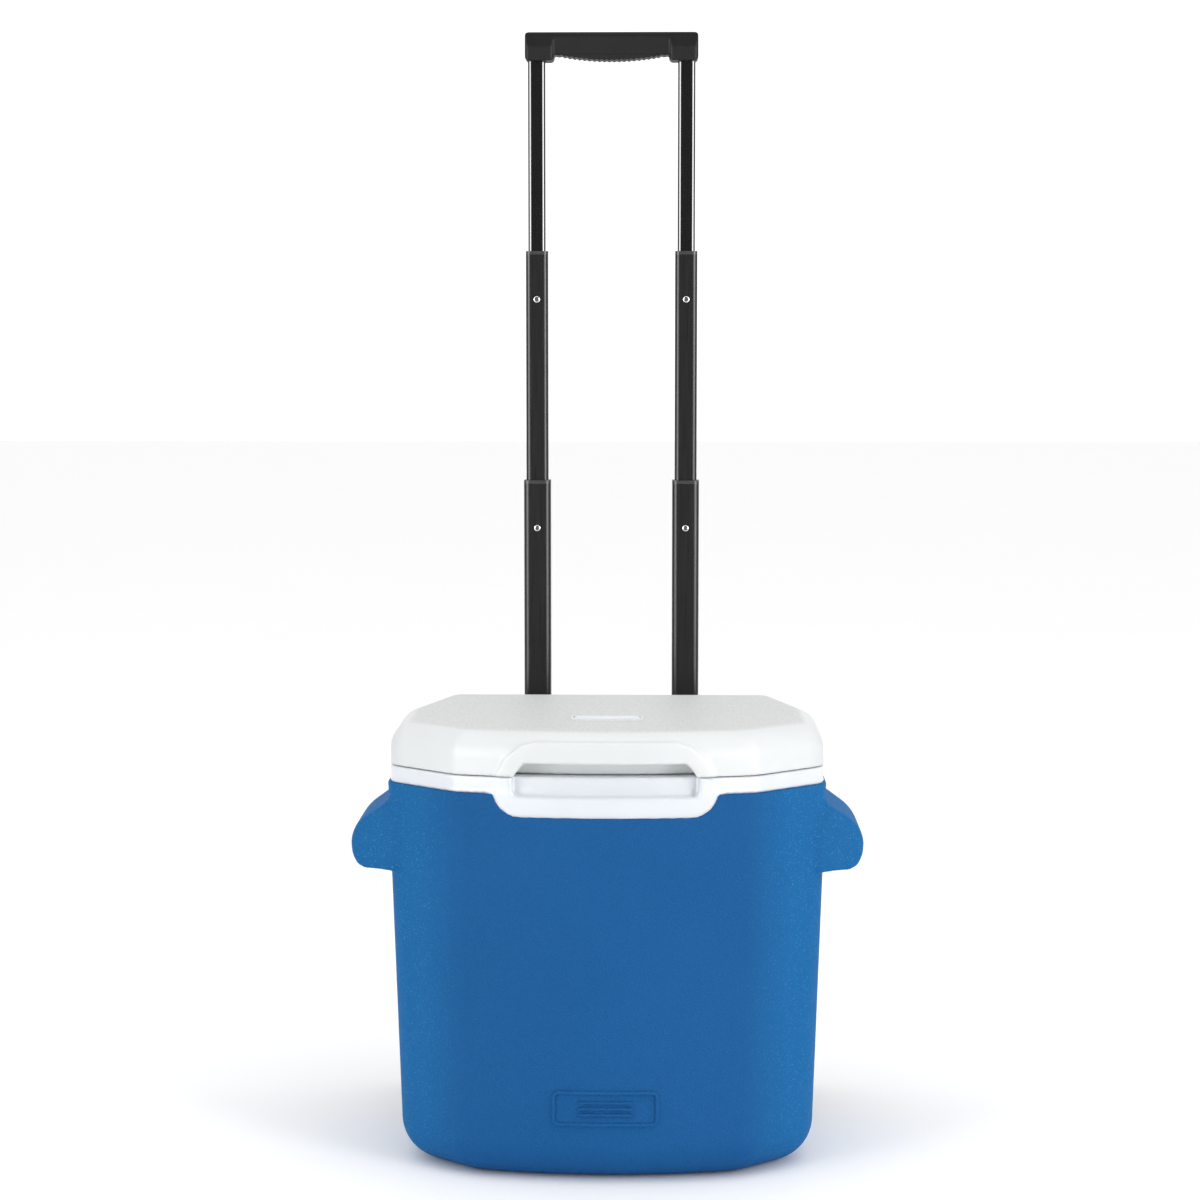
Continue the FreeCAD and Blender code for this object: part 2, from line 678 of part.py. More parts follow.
def button(stage):
    """Snap button: a domed pin with a flange that stops it against the inside of its own tube."""
    z = button_z(stage)
    inner = LEG_Y - DEPTHS[stage] / 2 + TUBE_WALL
    tip = LEG_Y - DEPTHS[stage - 1] / 2 - BUTTON_PROUD
    pin = rod(BUTTON_R, (LEG_X, inner + 0.1, z), (LEG_X, tip, z))
    edge = [e for e in pin.Edges if abs(e.CenterOfMass.y - tip) < 0.01 and e.Closed]
    pin = pin.makeFillet(1.1, edge)
    flange = rod(FLANGE_R, (LEG_X, inner + 0.1, z), (LEG_X, inner + 1.0, z))
    return fuse([pin, flange])


def leaf_spring(stage):
    """Folded leaf spring behind a snap button."""
    z = button_z(stage)
    front = LEG_Y - DEPTHS[stage] / 2 + TUBE_WALL + 1.05
    back = LEG_Y + DEPTHS[stage] / 2 - TUBE_WALL
    middle = (front + back) / 2
    x = LEG_X - LEAF_WIDTH / 2
    foot_z = z - BUTTON_R
    fold_z = z + LEAF_RISE
    points = [
        (x, front, foot_z),
        (x, front + LEAF, foot_z),
        (x, middle, fold_z),
        (x, back - LEAF, foot_z),
        (x, back, foot_z),
        (x, back, z),
        (x, middle + LEAF, fold_z + LEAF * 5),
        (x, middle - LEAF, fold_z + LEAF * 5),
        (x, front, z + BUTTON_R),
    ]
    return prism(points, (1, 0, 0), LEAF_WIDTH)


def upright_bar(half_depth, base_z, long_r):
    """The grip's bar along X, with its long edges rounded."""
    bar = box(-GRIP_HALF, GRIP_HALF, LEG_Y - half_depth, LEG_Y + half_depth, base_z, GRIP_TOP_Z)
    along = [e for e in bar.Edges if e.BoundBox.XLength > GRIP_HALF]
    bar = bar.makeFillet(GRIP_TOP_R, [e for e in along if e.BoundBox.ZMin > GRIP_TOP_Z - 1])
    low = [e for e in bar.Edges if e.BoundBox.XLength > GRIP_HALF and e.BoundBox.ZMax < base_z + 0.01]
    return bar.makeFillet(long_r, low)


def grip_envelope():
    """What the grip's ends are rounded to, seen from above and from the front."""
    base_z = GRIP_BASE_Z - LOBE_DROP
    half_depth = GRIP_DEPTH / 2
    block = box(-GRIP_HALF, GRIP_HALF, LEG_Y - half_depth, LEG_Y + half_depth, base_z, GRIP_TOP_Z)
    upright = [e for e in block.Edges if e.BoundBox.ZLength > 5]
    across = [e for e in block.Edges if e.BoundBox.YLength > 5]
    return block.makeFillet(GRIP_CORNER_R, upright).common(block.makeFillet(GRIP_CORNER_R, across))


def grip_lobe():
    """Boss round one tube's end: deepest at its foot, flush with the bar at the top."""
    base_z = GRIP_BASE_Z - LOBE_DROP
    shoulder_z = base_z + LOBE_SHOULDER
    foot, neck = GRIP_DEPTH / 2, BAR_DEPTH / 2 - 1
    profile = [
        (LOBE_X, LEG_Y - foot, base_z),
        (LOBE_X, LEG_Y + foot, base_z),
        (LOBE_X, LEG_Y + foot, shoulder_z),
        (LOBE_X, LEG_Y + neck, GRIP_TOP_Z - 1),
        (LOBE_X, LEG_Y - neck, GRIP_TOP_Z - 1),
        (LOBE_X, LEG_Y - foot, shoulder_z),
    ]
    lobe = prism(profile, (1, 0, 0), GRIP_HALF - LOBE_X)
    inner = box(LOBE_X, GRIP_HALF + MARGIN, LEG_Y - foot, LEG_Y + foot, base_z, GRIP_TOP_Z + MARGIN)
    upright = [e for e in inner.Edges if e.BoundBox.ZLength > 5 and e.BoundBox.XMax < LOBE_X + 1]
    foot_edge = [e for e in inner.Edges if e.BoundBox.ZMax < base_z + 1 and e.BoundBox.XMax < LOBE_X + 1]
    lobe = lobe.common(inner.makeFillet(GRIP_CORNER_R, upright))
    return lobe.common(inner.makeFillet(GRIP_CORNER_R, foot_edge))


def grip():
    """Grip bar with a boss round each tube's end and a scalloped underside for the fingers."""
    half_depth = BAR_DEPTH / 2
    belly_depth = half_depth - BAR_BASE_R / 2
    belly_z = GRIP_BASE_Z - BELLY_DROP + BELLY_R
    belly = rod(BELLY_R, (0, LEG_Y - belly_depth, belly_z), (0, LEG_Y + belly_depth, belly_z))
    room_z = GRIP_BASE_Z + LOBE_DROP
    room = box(-BELLY_HALF, BELLY_HALF, LEG_Y - half_depth, LEG_Y + half_depth, GRIP_BASE_Z - MARGIN, room_z)
    lobe = grip_lobe()
    shape = fuse([upright_bar(half_depth, GRIP_BASE_Z, BAR_BASE_R), lobe, mirrored(lobe), belly.common(room)])
    for index in range(SCALLOPS):
        x = (index - (SCALLOPS - 1) / 2) * SCALLOP_PITCH
        z = belly_z - math.sqrt(BELLY_R**2 - x**2) - SCALLOP_SHARE
        shape = shape.cut(rod(SCALLOP_R, (x, LEG_Y - half_depth, z), (x, LEG_Y + half_depth, z)))
    socket = section(3, 0, GRIP_BASE_Z - LOBE_DROP - 1, TOPS[3])
    shape = shape.common(grip_envelope())
    return shape.cut(socket).cut(mirrored(socket)).cut(grip_pins())


def grip_pins():
    """Cross pins that hold the grip on the two inner tubes."""
    z = GRIP_BASE_Z + GRIP_PIN_UP
    half_length = BAR_DEPTH / 2 - 1
    right = rod(GRIP_PIN_R, (LEG_X, LEG_Y - half_length, z), (LEG_X, LEG_Y + half_length, z))
    return Part.makeCompound([right, mirrored(right)])


def bracket(plate_z, half, tower_z, socket_z):
    """Back plate with two towers round the handle's outer sleeves."""
    plate_back = BACK_Y + PLATE_THICKNESS
    plate = box(-half, half, BACK_Y - PLATE_ROOT, plate_back, *plate_z)
    rear = LEG_Y + DEPTHS[0] / 2 + TOWER_WALL
    window_y1 = LEG_Y - DEPTHS[0] / 2 - TOWER_WALL
    towers = []
    for x in (-LEG_X, LEG_X):
        block = box(x - TOWER_HALF, x + TOWER_HALF, BACK_Y - PLATE_ROOT, rear, *tower_z)
        rear_edges = [e for e in block.Edges if e.BoundBox.ZLength > 5 and e.BoundBox.YMin > rear - 1]
        block = block.makeFillet(TOWER_R, rear_edges)
        x0, x1 = x - WINDOW_HALF, x + WINDOW_HALF
        towers.append(block.cut(box(x0, x1, plate_back, window_y1, tower_z[0] - 1, tower_z[1] + 1)))
    shape = fuse([plate] + towers)
    sleeve = section(0, 0, socket_z, TOPS[0])
    return shape.cut(sleeve).cut(mirrored(sleeve))


def screws(xs, z):
    rear = BACK_Y + PLATE_THICKNESS
    made = []
    for x in xs:
        shank = rod(SCREW_R, (x, rear - SCREW_LENGTH, z), (x, rear + 0.5, z))
        head = rod(SCREW_HEAD_R, (x, rear, z), (x, rear + SCREW_HEAD, z))
        drive = rod(DRIVE_R, (x, rear + SCREW_HEAD - DRIVE_DEPTH, z), (x, rear + SCREW_HEAD + 1, z))
        made.append(fuse([shank, head]).cut(drive))
    return Part.makeCompound(made)


def axle_bosses():
    x0, x1 = AXLE_BOSS_X
    z0, z1 = WHEEL_R - AXLE_BOSS_R, WHEEL_R + AXLE_BOSS_R
    boss = rod(AXLE_BOSS_R, (x0, WHEEL_Y, WHEEL_R), (x1, WHEEL_Y, WHEEL_R))
    boss = fuse([boss, box(x0, x1, BACK_Y - PLATE_ROOT, WHEEL_Y, z0, z1)])
    return fuse([boss, mirrored(boss)])


def axle():
    return rod(AXLE_R, (-AXLE_HALF, WHEEL_Y, WHEEL_R), (AXLE_HALF, WHEEL_Y, WHEEL_R))


def axle_rings(inner_x, outer_x, radius):
    made = []
    for side in (-1, 1):
        ring = rod(radius, (side * inner_x, WHEEL_Y, WHEEL_R), (side * outer_x, WHEEL_Y, WHEEL_R))
        made.append(ring.cut(axle()))
    return Part.makeCompound(made)


def lathe(profile, x, side):
    """Solid of revolution about the axle: profile points are (distance along X, radius)."""
    points = [Vector(x + side * along, WHEEL_Y, WHEEL_R + radius) for along, radius in profile]
    face = Part.Face(Part.makePolygon(points + [points[0]]))
    return face.revolve(Vector(x, WHEEL_Y, WHEEL_R), Vector(1, 0, 0), 360)


def wheel(side):
    """Moulded wheel: hub, web, spokes and rim."""
    x = side * WHEEL_X
    half = WHEEL_WIDTH / 2
    bore = AXLE_R + AXLE_CLEARANCE
    inner_r = WHEEL_RIM_R - WHEEL_RIM_WALL
    web_in, web_out = WHEEL_WEB
    profile = [
        (-half, bore),
        (half, bore),
        (half, WHEEL_HUB_R - 1),
        (web_out, WHEEL_HUB_R),
        (web_out, WHEEL_WEB_R),
        (half - 1, inner_r),
        (half - 1, WHEEL_RIM_R),
        (-half + 1, WHEEL_RIM_R),
        (-half + 1, inner_r),
        (web_in, WHEEL_WEB_R),
        (web_in, WHEEL_HUB_R),
        (-half, WHEEL_HUB_R - 1),
    ]
    shape = lathe(profile, x, side)
    spoke_half = half - 4
    ribs = []
    for index in range(SPOKES):
        y0, y1 = WHEEL_Y - SPOKE_HALF, WHEEL_Y + SPOKE_HALF
        z0, z1 = WHEEL_R + WHEEL_HUB_R - 2, WHEEL_R + inner_r + 0.5
        rib = box(x - spoke_half, x + spoke_half, y0, y1, z0, z1)
        rib.rotate(Vector(x, WHEEL_Y, WHEEL_R), Vector(1, 0, 0), 360 / SPOKES * index)
        ribs.append(rib)
    return fuse([shape] + ribs)


def tyre(side):
    """Tread ring moulded on the wheel's rim, with rounded shoulders and two grooves."""
    half = WHEEL_WIDTH / 2
    profile = [
        (half, WHEEL_RIM_R),
        (-half, WHEEL_RIM_R),
        (-half, WHEEL_R - 3),
        (-half + 1, WHEEL_R - 1),
        (-half + 3, WHEEL_R),
    ]
    for groove in TREAD_GROOVES:
        profile += [
            (groove - GROOVE_HALF, WHEEL_R),
            (groove - GROOVE_HALF + 0.5, WHEEL_R - GROOVE_DEPTH),
            (groove + GROOVE_HALF - 0.5, WHEEL_R - GROOVE_DEPTH),
            (groove + GROOVE_HALF, WHEEL_R),
        ]
    profile += [
        (half - 3, WHEEL_R),
        (half - 1, WHEEL_R - 1),
        (half, WHEEL_R - 3),
    ]
    return lathe(profile, side * WHEEL_X, side)


def save(name, shape):
    shape.exportStep(f"parts/{name}.step")


def build():
    os.makedirs("parts", exist_ok=True)
    upper_screws = screws(UPPER_SCREW_XS, UPPER_SCREW_Z)
    lower_screws = screws(LOWER_SCREW_XS, LOWER_SCREW_Z)
    fasteners = Part.makeCompound([upper_screws, lower_screws])
    shell, foam, liner, outside = tub_parts(fasteners)
    save("outer_shell", shell)
    save("foam_insulation", foam)
    save("inner_liner", liner)

    upper = bracket(UPPER_Z, UPPER_HALF, UPPER_Z, UPPER_SOCKET_Z)
    button_room = button_hole(1, BUTTON_R + BUTTON_ROOM)
    upper = upper.cut(button_room).cut(mirrored(button_room))
    lower = fuse([bracket(LOWER_Z, LOWER_HALF, LOWER_TOWER_Z, BOTTOMS[0]), axle_bosses()])
    save("upper_handle_bracket", upper.cut(outside).cut(fasteners))
    save("lower_handle_bracket", lower.cut(outside).cut(fasteners).cut(axle()))
    save("upper_bracket_screws", upper_screws)
    save("lower_bracket_screws", lower_screws)

    save("wheel_axle", axle())
    wheel_inner = WHEEL_X - WHEEL_WIDTH / 2 - END_PLAY
    wheel_outer = WHEEL_X + WHEEL_WIDTH / 2 + END_PLAY
    save("axle_washers", axle_rings(wheel_inner - WASHER_THICKNESS, wheel_inner, WASHER_R))
    save("axle_push_nuts", axle_rings(wheel_outer, wheel_outer + NUT_LENGTH, NUT_R))
    for side, word in ((-1, "left"), (1, "right")):
        save(f"wheel_{word}", wheel(side))
        save(f"wheel_tread_{word}", tyre(side))

    lid_shell, lid_panel = lid_parts()
    save("lid_shell", lid_shell)
    save("lid_panel", lid_panel)
    pin_end = HINGE_X + LID_KNUCKLE / 2 + KNUCKLE_GAP + TUB_KNUCKLE + 0.5
    pin_start = 2 * HINGE_X - pin_end
    pin = rod(HINGE_PIN_R, (pin_start, HINGE_Y, HINGE_Z), (pin_end, HINGE_Y, HINGE_Z))

    right = {"sleeve": tube(0), "sleeve_bush": bush(0), "hinge_pin": pin}
    for stage in (1, 2, 3):
        right[f"stage_{stage}_tube"] = tube(stage)
        right[f"stage_{stage}_slider"] = slider(stage)
        right[f"stage_{stage}_button"] = button(stage)
        right[f"stage_{stage}_spring"] = leaf_spring(stage)
    for stage in (1, 2):
        right[f"stage_{stage}_bush"] = bush(stage)
    for name, shape in right.items():
        if name == "stage_3_tube":
            shape = shape.cut(grip_pins())
        save(f"{name}_right", shape)
        save(f"{name}_left", mirrored(shape))
    save("grip", grip())
    save("grip_pins", grip_pins())


build()
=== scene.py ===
import json
import math

import bmesh
import bpy
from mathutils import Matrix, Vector
from mathutils.bvhtree import BVHTree


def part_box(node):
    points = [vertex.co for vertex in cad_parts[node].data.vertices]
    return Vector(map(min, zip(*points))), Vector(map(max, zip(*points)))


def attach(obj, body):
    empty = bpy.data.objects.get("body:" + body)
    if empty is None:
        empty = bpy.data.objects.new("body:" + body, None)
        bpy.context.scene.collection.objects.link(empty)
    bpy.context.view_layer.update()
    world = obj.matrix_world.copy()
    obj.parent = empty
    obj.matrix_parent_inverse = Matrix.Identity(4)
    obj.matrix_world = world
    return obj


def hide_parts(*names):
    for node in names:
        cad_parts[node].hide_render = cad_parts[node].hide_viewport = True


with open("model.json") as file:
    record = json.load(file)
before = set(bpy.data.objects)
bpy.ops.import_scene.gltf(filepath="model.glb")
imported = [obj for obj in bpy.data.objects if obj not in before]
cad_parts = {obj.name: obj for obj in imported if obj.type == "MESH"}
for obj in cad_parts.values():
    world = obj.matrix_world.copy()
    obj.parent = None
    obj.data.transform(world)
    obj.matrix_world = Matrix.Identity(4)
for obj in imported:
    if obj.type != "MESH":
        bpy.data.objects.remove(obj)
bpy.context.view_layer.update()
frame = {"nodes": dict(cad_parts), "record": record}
nodes = frame["nodes"]
home = bpy.context.scene.collection

# Sizes in metres.
VOXEL_BODY = 0.0015
VOXEL_LID = VOXEL_BODY * 0.8
VOXEL_BRACKET = 0.0010
VOXEL_WHEEL = 0.0008
VOXEL_GRIP = 0.0006
KEPT_FACES = 0.3
SHARP_ANGLE = 28.0
# Where the painted light on the blue shell's corner facets and side grips starts and reaches full strength,
# as distance from the middle in X.
FACET_LIGHT_FROM_X, FACET_LIGHT_TO_X = 0.112, 0.150
# Where the painted shade on the lid's outer sides starts and reaches full strength, as distance from the
# middle in X.
LID_SIDE_SHADE_FROM_X, LID_SIDE_SHADE_TO_X = 0.164, 0.176
LID_TOP_FROM_Z, LID_TOP_TO_Z = 0.3662, 0.3678
LID_FOOT_Z = 0.334
SHELL_RIM_Z = 0.297
LINER_IN_SHELL_Z = 0.3215
LINER_SWELL = 0.0007
WING_ROOT_X = 0.160
WING_BLEND_TOP_Z, WING_BLEND_BASE_Z = 0.3145, 0.243


# ---------------------------------------------------------------- materials


class Nodes:
    """A material under construction: a Principled shader and short calls for what feeds it."""

    def __init__(self, name, **sockets):
        self.material = bpy.data.materials.new(name)
        self.material.use_nodes = True
        self.tree = self.material.node_tree
        self.shader = self.tree.nodes["Principled BSDF"]
        for socket, value in sockets.items():
            self.shader.inputs[socket.replace("_", " ")].default_value = value
        self.coords = self.tree.nodes.new("ShaderNodeTexCoord").outputs["Object"]
        self.height = None

    def link(self, a, b):
        self.tree.links.new(a, b)

    def feed(self, socket, value):
        if hasattr(value, "is_output"):
            self.link(value, socket)
        else:
            socket.default_value = value

    def noise(self, scale, detail=2.0, roughness=0.5, stretch=None):
        node = self.tree.nodes.new("ShaderNodeTexNoise")
        node.inputs["Scale"].default_value = scale
        node.inputs["Detail"].default_value = detail
        node.inputs["Roughness"].default_value = roughness
        vector = self.coords
        if stretch:
            mapping = self.tree.nodes.new("ShaderNodeMapping")
            mapping.inputs["Scale"].default_value = stretch
            self.link(vector, mapping.inputs["Vector"])
            vector = mapping.outputs["Vector"]
        self.link(vector, node.inputs["Vector"])
        return node.outputs["Fac"]

    def cells(self, scale, smooth=0.4):
        node = self.tree.nodes.new("ShaderNodeTexVoronoi")
        node.feature = "SMOOTH_F1"
        node.inputs["Scale"].default_value = scale
        node.inputs["Smoothness"].default_value = smooth
        self.link(self.coords, node.inputs["Vector"])
        return node.outputs["Distance"]

    def ramp(self, value, low, high, to_low=0.0, to_high=1.0):
        node = self.tree.nodes.new("ShaderNodeMapRange")
        node.inputs["From Min"].default_value = low
        node.inputs["From Max"].default_value = high
        node.inputs["To Min"].default_value = to_low
        node.inputs["To Max"].default_value = to_high
        self.link(value, node.inputs["Value"])
        return node.outputs["Result"]

    def math(self, operation, a, b):
        node = self.tree.nodes.new("ShaderNodeMath")
        node.operation = operation
        self.feed(node.inputs[0], a)
        self.feed(node.inputs[1], b)
        return node.outputs[0]

    def mix(self, share, a, b):
        node = self.tree.nodes.new("ShaderNodeMix")
        node.data_type = "RGBA"
        self.feed(node.inputs["Factor"], share)
        for socket, colour in (("A", a), ("B", b)):
            target = [s for s in node.inputs if s.name == socket and s.type == "RGBA"][0]
            self.feed(target, colour if hasattr(colour, "is_output") else (*colour, 1.0))
        return [s for s in node.outputs if s.type == "RGBA"][0]

    def axis(self, letter):
        node = self.tree.nodes.new("ShaderNodeSeparateXYZ")
        self.link(self.coords, node.inputs[0])
        return node.outputs[letter]

    def colour(self, value):
        self.link(value, self.shader.inputs["Base Color"])

    def roughness(self, value):
        self.link(value, self.shader.inputs["Roughness"])

    def bump(self, height, depth):
        node = self.tree.nodes.new("ShaderNodeBump")
        node.inputs["Strength"].default_value = 1.0
        node.inputs["Distance"].default_value = depth
        self.link(height, node.inputs["Height"])
        if self.height:
            self.link(self.height, node.inputs["Normal"])
        self.height = node.outputs["Normal"]
        self.link(self.height, self.shader.inputs["Normal"])


def blue_shell():
    """Moulded blue plastic with a fine pebble grain; painted light makes the corner facets and the side grips
    lighter, and painted glints are scattered over them.
    """
    m = Nodes("blue_shell", Specular_IOR_Level=0.03)
    patches = m.noise(7.0, 3.0)
    grain = m.noise(900.0, 2.0, 0.6)
    out = m.math("ABSOLUTE", m.axis("X"), 0.0)
    # Painted light mask: the corner facets and side grips, which face the side lamps, get a lighter colour
    # here, and the painted glints gather here.
    facet_light = m.ramp(out, FACET_LIGHT_FROM_X, FACET_LIGHT_TO_X)
    # Painted glints: bright bluish-white specks mixed into the base colour, denser on the corner facets and
    # side grips.
    glints = m.ramp(m.noise(820.0, 2.0, 0.6), 0.60, 0.70)
    body = m.mix(m.ramp(patches, 0.3, 0.7), (0.0092, 0.0860, 0.257), (0.0110, 0.0930, 0.272))
    body = m.mix(m.ramp(grain, 0.35, 0.75, 0.0, 0.35), body, (0.0145, 0.118, 0.315))
    # Painted light: the corner facets and side grips are mixed toward a lighter blue, in place of the light
    # they catch.
    body = m.mix(m.math("MULTIPLY", facet_light, 0.5), body, (0.0118, 0.149, 0.386))
    glint_share = m.ramp(facet_light, 0.0, 1.0, 0.06, 0.42)
    m.colour(m.mix(m.math("MULTIPLY", glints, glint_share), body, (0.10, 0.40, 0.66)))
    m.roughness(m.ramp(grain, 0.3, 0.7, 0.66, 0.46))
    m.bump(m.cells(780.0), 0.00045)
    m.bump(m.noise(45.0, 2.0), 0.0004)
    return m.material


def white_lid():
    """White lid: a pebbled top face, smooth slopes, and painted shade on its outer sides."""
    m = Nodes("white_lid", Specular_IOR_Level=0.30)
    top = m.ramp(m.axis("Z"), LID_TOP_FROM_Z, LID_TOP_TO_Z)
    grain = m.noise(520.0, 3.0, 0.65)
    smears = m.noise(16.0, 3.0)
    slope = m.mix(m.ramp(smears, 0.3, 0.7), (0.66, 0.68, 0.68), (0.695, 0.715, 0.72))
    crown = m.mix(m.ramp(grain, 0.35, 0.7), (0.53, 0.545, 0.54), (0.66, 0.675, 0.67))
    # Painted shade: the lid's outer sides, which face away from the lamps, are mixed toward a darker white.
    painted_side_shade = m.ramp(m.math("ABSOLUTE", m.axis("X"), 0.0), LID_SIDE_SHADE_FROM_X, LID_SIDE_SHADE_TO_X)
    slope = m.mix(painted_side_shade, slope, (0.615, 0.635, 0.635))
    m.colour(m.mix(top, slope, crown))
    m.roughness(m.ramp(top, 0.0, 1.0, 0.44, 0.52))
    m.bump(m.math("MULTIPLY", grain, top), 0.00045)
    m.bump(m.noise(60.0, 2.0), 0.00025)
    return m.material


def white_liner():
    """Smooth white liner and rim, slightly cool."""
    m = Nodes("white_liner", Specular_IOR_Level=0.35)
    tint = m.noise(12.0, 3.0)
    m.colour(m.mix(m.ramp(tint, 0.3, 0.7), (0.675, 0.705, 0.74), (0.71, 0.74, 0.78)))
    m.roughness(m.ramp(m.noise(40.0, 3.0), 0.3, 0.7, 0.30, 0.38))
    m.bump(m.noise(70.0, 2.0), 0.0002)
    return m.material


def foam():
    """Closed-cell foam."""
    m = Nodes("foam")
    cells = m.cells(260.0, 0.2)
    m.colour(m.mix(cells, (0.80, 0.70, 0.46), (0.66, 0.56, 0.34)))
    m.roughness(m.ramp(cells, 0.0, 1.0, 0.95, 0.8))
    m.bump(cells, 0.0008)
    return m.material


def dark_plastic(name, colour, rough, grain_depth, shine=0.45):
    """Black moulded plastic with a fine spark-eroded grain."""
    m = Nodes(name, Specular_IOR_Level=shine)
    lighter = tuple(1.5 * c for c in colour)
    grain = m.noise(850.0, 2.0, 0.6)
    m.colour(m.mix(m.ramp(m.noise(30.0, 3.0), 0.35, 0.7), colour, lighter))
    m.roughness(m.ramp(grain, 0.3, 0.7, rough - 0.06, rough + 0.07))
    m.bump(grain, grain_depth)
    return m.material


def coated_tube(name, colour, rough, shine=0.4):
    """Black coated steel tube: a little orange peel in the coat, and drawing lines along Z."""
    m = Nodes(name, Specular_IOR_Level=shine)
    lines = m.noise(60.0, 3.0, 0.5, (18.0, 18.0, 0.35))
    lighter = tuple(1.35 * c for c in colour)
    m.colour(m.mix(m.ramp(lines, 0.35, 0.7), colour, lighter))
    m.roughness(m.ramp(lines, 0.3, 0.7, rough, rough * 1.25))
    m.bump(m.noise(420.0, 2.0), rough * 0.00006)
    return m.material


def bare_metal(name, colour, rough):
    m = Nodes(name, Metallic=1.0)
    brushed = m.noise(120.0, 4.0, 0.6, (12.0, 12.0, 1.0))
    darker = tuple(0.8 * c for c in colour)
    m.colour(m.mix(m.ramp(brushed, 0.3, 0.7), darker, colour))
    m.roughness(m.ramp(brushed, 0.3, 0.7, rough, rough * 1.5))
    m.bump(brushed, 0.00002)
    return m.material


def paper_floor():
    m = Nodes("floor_paper")
    m.colour(m.mix(m.noise(3.0, 3.0), (0.96, 0.96, 0.96), (0.975, 0.975, 0.975)))
    m.roughness(m.ramp(m.noise(20.0, 2.0), 0.0, 1.0, 0.85, 0.95))
    m.bump(m.noise(300.0, 2.0), 0.0001)
    return m.material


MATERIALS = {
    "blue_shell": blue_shell(),
    "white_lid": white_lid(),
    "white_liner": white_liner(),
    "foam": foam(),
    "black_plastic": dark_plastic("black_plastic", (0.014, 0.014, 0.014), 0.48, 0.00008),
    "grip_plastic": dark_plastic("grip_plastic", (0.0050, 0.0048, 0.0048), 0.50, 0.00008, 0.15),
    "guide_plastic": dark_plastic("guide_plastic", (0.011, 0.011, 0.011), 0.40, 0.00004),
    "handle_tube": coated_tube("handle_tube", (0.0070, 0.0060, 0.0060), 0.27, 0.29),
    "handle_tube_gloss": coated_tube("handle_tube_gloss", (0.0050, 0.0048, 0.0048), 0.09, 1.0),
    "steel": bare_metal("steel", (0.62, 0.62, 0.63), 0.30),
    "button_chrome": bare_metal("button_chrome", (0.88, 0.88, 0.89), 0.10),
    "wheel_plastic": dark_plastic("wheel_plastic", (0.016, 0.016, 0.016), 0.50, 0.00008),
    "wheel_tread": dark_plastic("wheel_tread", (0.010, 0.010, 0.010), 0.66, 0.00015),
}

slot_of = {row["node"]: row["material_slot"] for row in frame["record"]["subparts"]}
body_of = {n: b for b, members in frame["record"]["behaviour"]["bodies"].items() for n in members}
for name, node in nodes.items():
    node.data.materials.clear()
    node.data.materials.append(MATERIALS[slot_of[name]])
    node.data.shade_smooth()
    node.data.set_sharp_from_angle(angle=math.radians(SHARP_ANGLE))


# ---------------------------------------------------------------- pieces


def place(mesh, name, body, slot):
    piece = bpy.data.objects.new(name, mesh)
    home.objects.link(piece)
    mesh.materials.clear()
    mesh.materials.append(MATERIALS[slot])
    mesh.shade_smooth()
    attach(piece, body)
    return piece


def baked(piece):
    """The piece's mesh with its modifiers applied; the piece itself goes away."""
    graph = bpy.context.evaluated_depsgraph_get()
    mesh = bpy.data.meshes.new_from_object(piece.evaluated_get(graph))
    bpy.data.objects.remove(piece)
    return mesh


def weight_group(piece, name, weight):
    group = piece.vertex_groups.new(name=name)
    for vertex in piece.data.vertices:
        group.add([vertex.index], min(1.0, max(0.0, weight(vertex.co))), "REPLACE")
    return group.name


def moulded(node, voxel, passes, swell=0.0):
    """A moulded skin over a CAD solid: its edges and inner corners get the radii that moulding leaves.
    Each pass is (rounds of smoothing, weight by place or None). Swell closes it up against the blue shell."""
    raw = bpy.data.objects.new("raw", nodes[node].data.copy())
    home.objects.link(raw)
    remesh = raw.modifiers.new("remesh", "REMESH")
    remesh.mode = "VOXEL"
    remesh.voxel_size = voxel
    raw = bpy.data.objects.new("soft", baked(raw))
    home.objects.link(raw)
    for number, (rounds, weight) in enumerate(passes):
        smooth = raw.modifiers.new(f"smooth_{number}", "SMOOTH")
        smooth.factor = 0.5
        smooth.iterations = rounds
        if weight:
            smooth.vertex_group = weight_group(raw, f"soften_{number}", weight)
    if swell:
        grow = raw.modifiers.new("grow", "DISPLACE")
        grow.mid_level = 0.0
        grow.strength = swell
        grow.vertex_group = weight_group(raw, "in_the_shell", lambda co: (LINER_IN_SHELL_Z - co.z) / 0.002)
    fewer = raw.modifiers.new("fewer", "DECIMATE")
    fewer.ratio = KEPT_FACES
    piece = place(baked(raw), f"{node}_moulded", body_of[node], slot_of[node])
    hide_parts(node)
    return piece


def shell_blend(co):
    """Smoothing weight of the whole tub: little near its sharp upper edge."""
    return 1.0 if co.z < SHELL_RIM_Z else 0.15


def lid_blend(co):
    """Smoothing weight of the lid: less at its foot, where it meets the rim."""
    return (co.z - LID_FOOT_Z) / 0.006 + 0.2


def grip_blend(co):
    """Smoothing weight round the side grips, where they run into the tub."""
    out = (abs(co.x) - WING_ROOT_X) / 0.012
    high = (WING_BLEND_TOP_Z - co.z) / 0.008
    low = (co.z - WING_BLEND_BASE_Z) / 0.010
    return min(out, high, low)


